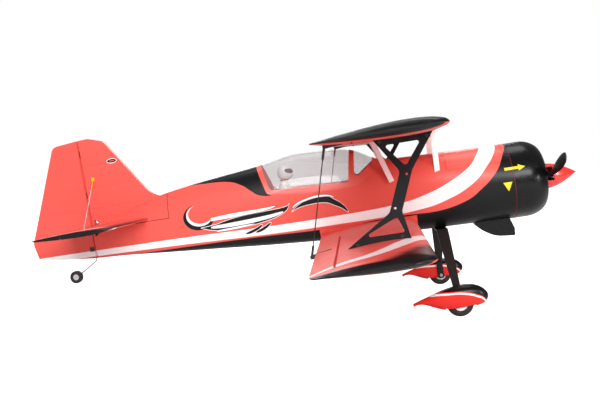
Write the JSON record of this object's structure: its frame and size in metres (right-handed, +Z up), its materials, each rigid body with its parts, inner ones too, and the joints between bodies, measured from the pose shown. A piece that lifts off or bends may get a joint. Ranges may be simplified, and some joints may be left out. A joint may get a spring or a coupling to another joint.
{
  "type": "radio controlled model biplane",
  "caption": "Electric model biplane with moving control surfaces, linked ailerons, spinning propeller, rolling wheels and a lift-off top hatch.",
  "frame": {"origin": "on the ground under the centre of the bounding box, standing on its three wheels", "axes": "+X towards the nose, +Y to port (the pilot's left), +Z up"},
  "size_m": [1.112, 1.066, 0.3496],
  "materials": {
    "painted_foam": "satin paint over moulded foam",
    "black_plastic": "satin",
    "white_plastic": "satin",
    "clear_plastic": "clear moulded canopy",
    "plywood": "raw birch plywood",
    "carbon": "carbon rod",
    "steel_wire": "bright wire",
    "black_metal": "black powder coat",
    "motor_metal": "machined",
    "wheel_rubber": "matte foam rubber",
    "red_plastic": "gloss",
    "electronics": "shrink sleeve",
    "pilot_plastic": "painted figure"
  },
  "bodies": {
    "airframe": {"cabane_struts": "white_plastic", "canopy_frame": "painted_foam", "canopy_glass": "clear_plastic", "chin_scoop": "painted_foam", "cowl": "painted_foam", "fixed_hinges": "black_plastic", "fuselage_left": "painted_foam", "fuselage_right": "painted_foam", "interplane_strut_left": "black_plastic", "interplane_strut_right": "black_plastic", "landing_gear": "black_metal", "lower_wing": "painted_foam", "motor_stator": "motor_metal", "pilot": "pilot_plastic", "plywood_formers": "plywood", "receiver_and_speed_controller": "electronics", "servos": "black_plastic", "stabiliser": "painted_foam", "strut_brackets_and_screws": "black_plastic", "tail_braces": "steel_wire", "tail_fin": "painted_foam", "upper_wing": "painted_foam", "wheel_axles": "steel_wire", "wheel_pant_left": "painted_foam", "wheel_pant_right": "painted_foam", "wing_spars": "carbon"},
    "propeller_and_bell": {"propeller": "black_plastic", "motor_bell": "motor_metal", "spinner_backplate": "red_plastic", "spinner_cone": "red_plastic"},
    "rudder": {"rudder": "painted_foam", "rudder_fittings": "black_plastic", "tail_wheel_wire": "steel_wire"},
    "tail_wheel": {"tail_wheel": "wheel_rubber"},
    "elevator": {"elevator_left": "painted_foam", "elevator_right": "painted_foam", "elevator_fittings": "black_plastic"},
    "wheel_left": {"tyre_left": "wheel_rubber", "wheel_hub_left": "white_plastic"},
    "wheel_right": {"tyre_right": "wheel_rubber", "wheel_hub_right": "white_plastic"},
    "hatch": {"hatch": "painted_foam"},
    "elevator_arm": {"elevator_arm": "white_plastic"},
    "elevator_pushrod": {"elevator_pushrod": "steel_wire"},
    "rudder_arm": {"rudder_arm": "white_plastic"},
    "rudder_pushrod": {"rudder_pushrod": "steel_wire"},
    "lower_right_aileron": {"lower_right_aileron": "painted_foam", "lower_right_aileron_fittings": "black_plastic"},
    "upper_right_aileron": {"upper_right_aileron": "painted_foam", "upper_right_aileron_fittings": "black_plastic"},
    "right_aileron_link": {"right_aileron_link": "steel_wire"},
    "right_aileron_arm": {"right_aileron_arm": "white_plastic"},
    "right_aileron_pushrod": {"right_aileron_pushrod": "steel_wire"},
    "lower_left_aileron": {"lower_left_aileron": "painted_foam", "lower_left_aileron_fittings": "black_plastic"},
    "upper_left_aileron": {"upper_left_aileron": "painted_foam", "upper_left_aileron_fittings": "black_plastic"},
    "left_aileron_link": {"left_aileron_link": "steel_wire"},
    "left_aileron_arm": {"left_aileron_arm": "white_plastic"},
    "left_aileron_pushrod": {"left_aileron_pushrod": "steel_wire"}
  },
  "joints": [
    {"name": "propeller_spin", "type": "hinge", "parent": "airframe", "child": "propeller_and_bell", "pos_m": [0.51179, 0, 0.25755], "axis": [0.9824, 0, 0.187], "continuous": true},
    {"name": "rudder_turn", "type": "hinge", "parent": "airframe", "child": "rudder", "pos_m": [-0.42224, 0, 0.1001], "axis": [-0.187, 0, 0.9824], "range_deg": [-25, 25]},
    {"name": "tail_wheel_roll", "type": "hinge", "parent": "rudder", "child": "tail_wheel", "pos_m": [-0.46266, 0, 0.013], "axis": [0, 1, 0], "continuous": true},
    {"name": "elevator_turn", "type": "hinge", "parent": "airframe", "child": "elevator", "pos_m": [-0.41732, 0, 0.12241], "axis": [0, 1, 0], "range_deg": [-25, 25]},
    {"name": "wheel_left_roll", "type": "hinge", "parent": "airframe", "child": "wheel_left", "pos_m": [0.31694, 0.154, 0.0245], "axis": [0, 1, 0], "continuous": true},
    {"name": "wheel_right_roll", "type": "hinge", "parent": "airframe", "child": "wheel_right", "pos_m": [0.31694, -0.154, 0.0245], "axis": [0, 1, 0], "continuous": true},
    {"name": "lower_right_aileron_turn", "type": "hinge", "parent": "airframe", "child": "lower_right_aileron", "pos_m": [0.09761, -0.331, 0.13391], "axis": [0, 1, 0], "range_deg": [-25, 25]},
    {"name": "upper_right_aileron_turn", "type": "hinge", "parent": "airframe", "child": "upper_right_aileron", "pos_m": [0.11222, -0.331, 0.31382], "axis": [0, 1, 0], "range_deg": [-25, 25]},
    {"name": "right_aileron_link_pivot", "type": "hinge", "parent": "lower_right_aileron", "child": "right_aileron_link", "pos_m": [0.05345, -0.302, 0.11991], "axis": [0, 1, 0], "range_deg": [-25, 25]},
    {"name": "right_aileron_arm_turn", "type": "hinge", "parent": "airframe", "child": "right_aileron_arm", "pos_m": [0.17423, -0.235, 0.1485], "axis": [0, 1, 0], "range_deg": [-25, 25]},
    {"name": "right_aileron_pushrod_pivot", "type": "hinge", "parent": "right_aileron_arm", "child": "right_aileron_pushrod", "pos_m": [0.17704, -0.235, 0.13376], "axis": [0, 1, 0], "range_deg": [-25, 25]},
    {"name": "lower_left_aileron_turn", "type": "hinge", "parent": "airframe", "child": "lower_left_aileron", "pos_m": [0.09761, 0.331, 0.13391], "axis": [0, 1, 0], "range_deg": [-25, 25]},
    {"name": "upper_left_aileron_turn", "type": "hinge", "parent": "airframe", "child": "upper_left_aileron", "pos_m": [0.11222, 0.331, 0.31382], "axis": [0, 1, 0], "range_deg": [-25, 25]},
    {"name": "left_aileron_link_pivot", "type": "hinge", "parent": "lower_left_aileron", "child": "left_aileron_link", "pos_m": [0.05345, 0.302, 0.11991], "axis": [0, 1, 0], "range_deg": [-25, 25]},
    {"name": "left_aileron_arm_turn", "type": "hinge", "parent": "airframe", "child": "left_aileron_arm", "pos_m": [0.17423, 0.235, 0.1485], "axis": [0, 1, 0], "range_deg": [-25, 25]},
    {"name": "left_aileron_pushrod_pivot", "type": "hinge", "parent": "left_aileron_arm", "child": "left_aileron_pushrod", "pos_m": [0.17704, 0.235, 0.13376], "axis": [0, 1, 0], "range_deg": [-25, 25]},
    {"name": "elevator_arm_turn", "type": "hinge", "parent": "airframe", "child": "elevator_arm", "pos_m": [-0.1344, 0.019, 0.17627], "axis": [0, 1, 0], "range_deg": [-25, 25]},
    {"name": "elevator_pushrod_pivot", "type": "hinge", "parent": "elevator_arm", "child": "elevator_pushrod", "pos_m": [-0.1316, 0.019, 0.16153], "axis": [0, 1, 0], "range_deg": [-25, 25]},
    {"name": "rudder_arm_turn", "type": "hinge", "parent": "airframe", "child": "rudder_arm", "pos_m": [-0.12711, 0, 0.13796], "axis": [-0.187, 0, 0.9824], "range_deg": [-25, 25]},
    {"name": "rudder_pushrod_pivot", "type": "hinge", "parent": "rudder_arm", "child": "rudder_pushrod", "pos_m": [-0.12711, 0.015, 0.13796], "axis": [-0.187, 0, 0.9824], "range_deg": [-25, 25]},
    {"name": "hatch_lift", "type": "slide", "parent": "airframe", "child": "hatch", "axis": [-0.187, 0, 0.9824], "range_m": [0, 0.12]}
  ],
  "couplings": [
    {"joint": "upper_right_aileron_turn", "follows": "lower_right_aileron_turn", "ratio": 1},
    {"joint": "right_aileron_link_pivot", "follows": "lower_right_aileron_turn", "ratio": -1},
    {"joint": "right_aileron_arm_turn", "follows": "lower_right_aileron_turn", "ratio": 1},
    {"joint": "right_aileron_pushrod_pivot", "follows": "lower_right_aileron_turn", "ratio": -1},
    {"joint": "lower_left_aileron_turn", "follows": "lower_right_aileron_turn", "ratio": -1},
    {"joint": "upper_left_aileron_turn", "follows": "lower_right_aileron_turn", "ratio": -1},
    {"joint": "left_aileron_link_pivot", "follows": "lower_right_aileron_turn", "ratio": 1},
    {"joint": "left_aileron_arm_turn", "follows": "lower_right_aileron_turn", "ratio": -1},
    {"joint": "left_aileron_pushrod_pivot", "follows": "lower_right_aileron_turn", "ratio": 1},
    {"joint": "elevator_arm_turn", "follows": "elevator_turn", "ratio": 1},
    {"joint": "elevator_pushrod_pivot", "follows": "elevator_turn", "ratio": -1},
    {"joint": "rudder_arm_turn", "follows": "rudder_turn", "ratio": 1},
    {"joint": "rudder_pushrod_pivot", "follows": "rudder_turn", "ratio": -1}
  ]
}
